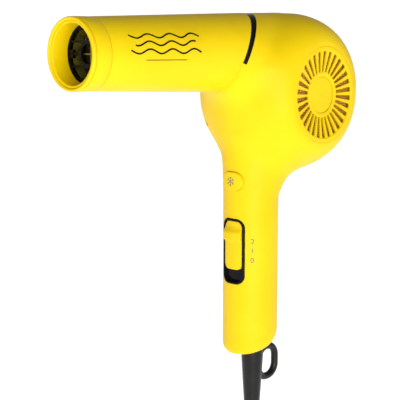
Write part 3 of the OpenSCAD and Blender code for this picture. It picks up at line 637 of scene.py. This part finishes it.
def slider(x, y, z):
    """The sliding cap with its scoop and ridge, and its stem."""
    side = np.interp(z, [p[0] for p in SLIDER_SIDE], [p[1] for p in SLIDER_SIDE])
    cap = both(rounded_box(y, z + 136.3, 8.1, 17.5, 4.5), np.hypot(x, y) - side, 0.7)
    cap = both(cap, x + 16.7, 0.2)
    stem = rounded_box(y, z + 136.8, 2.2, 4.0, 0.5)
    stem = both(stem, np.abs(x + 15.9) - 1.75, 0.3)
    return melt(cap, stem, 0.4)


piece("speed_slider_cap", *net(slider, (-23, -9, -155), (-13, 9, -117), 0.36), "yellow_shell",
      YELLOW, ("speed_slider",), "speed_switch", sharp=40)


# ---------- strain relief ----------

# The strain relief's taper: [z, radius]
RELIEF = [(-272, 4.9), (-260, 5.8), (-246, 6.7), (-236, 7.3), (-222, 8.1), (-209, 8.2),
          (-196, 8.2)]


def relief(x, y, z):
    """A tapered sleeve with a flange inside the handle and a hanging loop at its side."""
    r = np.interp(z, [p[0] for p in RELIEF], [p[1] for p in RELIEF])
    sleeve = both(np.hypot(x - CORD_X, y) - r, np.abs(z + 235.2) - 36.6, 0.8)
    flange = both(np.hypot(x - CORD_X, y) - 10.4, np.abs(z + 199.3) - 1.3, 0.4)
    around = rounded_box(x - 19, z + 230.5, 9.5, 11.7, 8.8)
    loop = np.hypot(around, y) - 2.7
    loop = np.maximum(loop, CORD_X - x)
    return melt(melt(sleeve, flange, 0.6), loop, 2.5)


piece("strain_relief_boot", *net(relief, (-9, -12, -274), (33, 12, -196), 0.75), "black_rubber",
      RUBBER, ("strain_relief",), sharp=0)


# ---------- intake grilles ----------

# The grille's section: [radius, depth behind the drum's flat face]
GRILLE = [
    (13.0, 5.4), (13.0, 2.95), (13.15, 2.8), (14.9, 2.4), (15.6, 2.7), (19.4, 2.12), (23.2, 1.58),
    (27.0, 1.05), (30.7, 0.5), (31.0, 0.1), (31.15, 0), (33.6, 0), (33.8, 0.06), (33.9, 0.25),
    (33.9, 1.95), (31.9, 1.95), (31.4, 2.0), (30.7, 1.75), (23.2, 2.8), (15.6, 3.9), (14.4, 5.4),
]


SLOT_COUNT = 30


def slot_outline(turn):
    """A slot of the grille: wider at its outer end, with its corners rounded."""
    edge = [(16.0, 0.55), (15.8, 0.8), (16.3, 1.05), (29.6, 1.78), (30.2, 1.6), (30.5, 1.1)]
    points = [(at, -half) for at, half in edge[::-1]] + edge
    c, s = math.cos(turn), math.sin(turn)
    return [(DRUM_X + c * u - s * v, DRUM_Z + s * u + c * v) for u, v in points]


for side, word in ((-1, "left"), (1, "right")):
    dish = blank("dish", *turned([(r, side * (DRUM_HALF - at)) for r, at in GRILLE], "drum", 180))
    slots = cutter("slots", *[
        prism(slot_outline(math.pi * (2 * k / SLOT_COUNT + 0.5)), "y", side * 36, side * 48)
        for k in range(SLOT_COUNT)])
    cut = combine(outward(dish), slots, "DIFFERENCE", "grille_" + word)
    cut.data.transform(Matrix.Scale(MM, 4) @ Matrix.Translation((0, 0, LIFT)))
    cut.data.shade_smooth()
    cut.data.set_sharp_from_angle(angle=math.radians(25))
    cut.data.materials.clear()
    cut.data.materials.append(YELLOW)
    enter(cut, ("intake_grille_" + word,))
    for spare in (dish, slots):
        bpy.data.objects.remove(spare)


# ---------- dust screens ----------

def woven(side):
    """Wires crossing over and under each other, cut to a disc and dished like the grille."""
    pitch, wire, edge = 1.6, 0.27, 31.6
    half_rows = int(edge / pitch)
    points, faces = [], []
    for way in (0, 1):
        for row in range(-half_rows, half_rows + 1):
            offset = row * pitch
            last = int(math.sqrt(max(edge ** 2 - offset ** 2, 0)) / pitch)
            if last < 2:
                continue
            base = len(points)
            for k in range(-last, last + 1):
                lift = wire * (1 if (k + row + way) % 2 else -1)
                for du, dy in ((wire, 0), (0, wire), (-wire, 0), (0, -wire)):
                    u, v = offset + du, k * pitch
                    if way:
                        u, v = v, u
                    level = 37.5 + 2.6 * min(1, max(0, (math.hypot(u, v) - 15.6) / 15.1))
                    points.append((DRUM_X + u, side * level + lift + dy, DRUM_Z + v))
            rings = 2 * last + 1
            faces += [(base + 4 * a + b, base + 4 * a + (b + 1) % 4,
                       base + 4 * a + 4 + (b + 1) % 4, base + 4 * a + 4 + b)
                      for a in range(rings - 1) for b in range(4)]
            faces.append(tuple(base + b for b in range(3, -1, -1)))
            faces.append(tuple(base + 4 * (rings - 1) + b for b in range(4)))
    return points, faces


for side, word in ((-1, "left"), (1, "right")):
    outward(piece("woven_screen_" + word, *woven(side), "bronze_mesh", BRONZE,
                  ("dust_screen_" + word,), sharp=0))


# ---------- printed signs ----------

def ribbon(path, width, place, thick=0.1, shut=False):
    """A flat stroke along a path of [u, v], laid on a surface by place(u, v, height)."""
    path = np.asarray(path, float)
    ahead = np.roll(path, -1, 0) - path
    behind = path - np.roll(path, 1, 0)
    if not shut:
        ahead[-1], behind[0] = behind[-1], ahead[0]
    along = ahead / np.linalg.norm(ahead, axis=1)[:, None]
    along += behind / np.linalg.norm(behind, axis=1)[:, None]
    along /= np.linalg.norm(along, axis=1)[:, None]
    across = np.stack([-along[:, 1], along[:, 0]], 1) * width / 2
    points, faces = [], []
    for at, off in zip(path, across):
        for spot, h in ((at + off, thick), (at - off, thick), (at - off, -0.05), (at + off, -0.05)):
            points.append(place(spot[0], spot[1], h))
    n = len(path)
    for i in range(n if shut else n - 1):
        j = (i + 1) % n
        faces += [(4 * i + b, 4 * i + (b + 1) % 4, 4 * j + (b + 1) % 4, 4 * j + b)
                  for b in range(4)]
    if not shut:
        faces += [(3, 2, 1, 0), tuple(4 * n - 4 + b for b in range(4))]
    return points, faces


def on_barrel(u, v, h):
    """A point h above the barrel's left side, u along it and v round it."""
    x = -106 + u
    r = BARREL_R + BARREL_TAPER * x + h
    a = math.radians(11) + v / 24.2
    return (x, -r * math.cos(a), r * math.sin(a))


def on_handle(u, v, h):
    """A point h above the handle, beside the slider."""
    a = math.radians(45.5) + u / GRIP_R
    return (-(GRIP_R + h) * math.cos(a), -(GRIP_R + h) * math.sin(a), v)


def on_cap(u, v, h):
    """A point h above the face of the cool button."""
    return (-math.sqrt(21.84 ** 2 - u * u) - h, -u, BUTTON_Z + v)


def printed(name, strokes, slot, mat, body="casing"):
    outward(piece(name, *joined(*strokes), slot, mat, (), body, sharp=30))


waves = []
for row in range(3):
    reach = (29, 25, 29)[row]
    waves.append(ribbon([(u, 7.0 - 5.0 * row + 1.4 * math.sin(u / 2.9))
                         for u in np.linspace(-reach, reach, 121)], 1.1, on_barrel))
waves.append(ribbon([(u, -8.4) for u in np.linspace(-17, 17, 35)], 0.45, on_barrel))
printed("airflow_sign", waves, "black_matte", INK)


def stroke(points, at):
    return ribbon([(1.3 * u, 1.3 * v + at) for u, v in points], 0.52, on_handle)


numbers = [
    stroke(arc(0, 0.45, 0.75, 160, -30, 10) + [(0.1, -0.6), (-0.75, -1.25), (0.8, -1.25)], -132.4),
    stroke([(-0.45, 0.75), (0.1, 1.25), (0.1, 0), (0.1, -1.25)], -139.2),
    ribbon([(math.cos(t), -146.0 + 1.6 * math.sin(t))
            for t in np.linspace(0, 2 * math.pi, 24, endpoint=False)], 0.52, on_handle, shut=True),
]
printed("switch_numbers", numbers, "grey_plastic", PALE)

flake = []
for k in range(3):
    c, s = math.cos(math.radians(90 + 60 * k)), math.sin(math.radians(90 + 60 * k))
    flake.append(ribbon([(-3.5 * c, -3.5 * s), (0, 0), (3.5 * c, 3.5 * s)], 0.5, on_cap))
    for way in (-1, 1):
        for lean in (-50, 50):
            a = math.radians(90 + 60 * k + lean)
            start = (way * 2 * c, way * 2 * s)
            end = (start[0] + way * 1.3 * math.cos(a), start[1] + way * 1.3 * math.sin(a))
            flake.append(ribbon([start, end], 0.38, on_cap))
printed("cool_sign", flake, "grey_plastic", PALE, "cool_shot_button")


# ---------- finish of the CAD pieces that stay ----------

for node in NODES.values():
    for entry in node.material_slots:
        entry.material = FINISH[entry.material.name.split(".")[0]]


# ---------- floor and light ----------

def lamp(name, place, size, power, colour=(1, 1, 1)):
    data = bpy.data.lights.new(name, "AREA")
    data.shape = "DISK"
    data.size = size
    data.energy = power
    data.color = colour
    obj = bpy.data.objects.new(name, data)
    obj.location = place
    obj.rotation_euler = (place - TARGET).to_track_quat("Z", "Y").to_euler()
    bpy.context.scene.collection.objects.link(obj)


floor_mesh = bpy.data.meshes.new("floor")
FLOOR_Z = -0.345
floor_mesh.from_pydata([(x, y, FLOOR_Z) for x, y in ((-9, -9), (9, -9), (9, 9), (-9, 9))], [],
                       [(0, 1, 2, 3)])
floor = bpy.data.objects.new("floor", floor_mesh)
bpy.context.scene.collection.objects.link(floor)
floor_mat, nodes, links, bsdf = shader("floor_white")
links.new(ramp(nodes, links, noise(nodes, links, 3.0), 0.86, 0.9), bsdf.inputs["Base Color"])
bsdf.inputs["Roughness"].default_value = 0.8
bsdf.inputs["Emission Color"].default_value = (1, 1, 1, 1)
bsdf.inputs["Emission Strength"].default_value = 0.9
floor_mesh.materials.append(floor_mat)

RIGHT = vec(0.6996, -0.7145, 0)
UP = vec(0, 0, 1)
lamp("key", TARGET + 0.95 * BACK + 0.2 * RIGHT - 0.1 * UP, 0.8, 7.5, (0.9, 1.0, 0.85))
lamp("side", TARGET + 0.5 * BACK - 0.9 * RIGHT + 0.1 * UP, 0.7, 1.0)

world = bpy.data.worlds.new("studio")
world.use_nodes = True
nodes, links = world.node_tree.nodes, world.node_tree.links
sky = nodes.new("ShaderNodeTexCoord")
split = nodes.new("ShaderNodeSeparateXYZ")
fade = nodes.new("ShaderNodeValToRGB")
fade.color_ramp.elements[0].position = 0.08
fade.color_ramp.elements[0].color = (1.05, 1.05, 1.05, 1)
fade.color_ramp.elements[1].position = 0.6
fade.color_ramp.elements[1].color = (0.3, 0.3, 0.3, 1)
links.new(sky.outputs["Generated"], split.inputs["Vector"])
links.new(split.outputs["Z"], fade.inputs["Fac"])
toward = nodes.new("ShaderNodeVectorMath")
toward.operation = "DOT_PRODUCT"
toward.inputs[1].default_value = tuple(-BACK)
behind = nodes.new("ShaderNodeValToRGB")
behind.color_ramp.elements[0].position = 0.6
behind.color_ramp.elements[0].color = (0.6, 0.6, 0.6, 1)
behind.color_ramp.elements[1].position = 0.9
behind.color_ramp.elements[1].color = (1, 1, 1, 1)
product = nodes.new("ShaderNodeVectorMath")
product.operation = "MULTIPLY"
links.new(sky.outputs["Generated"], toward.inputs[0])
links.new(toward.outputs["Value"], behind.inputs["Fac"])
links.new(fade.outputs["Color"], product.inputs[0])
links.new(behind.outputs["Color"], product.inputs[1])
links.new(product.outputs["Vector"], nodes["Background"].inputs["Color"])
nodes["Background"].inputs["Strength"].default_value = 1.0
bpy.context.scene.world = world
bpy.context.scene.view_settings.view_transform = "Standard"
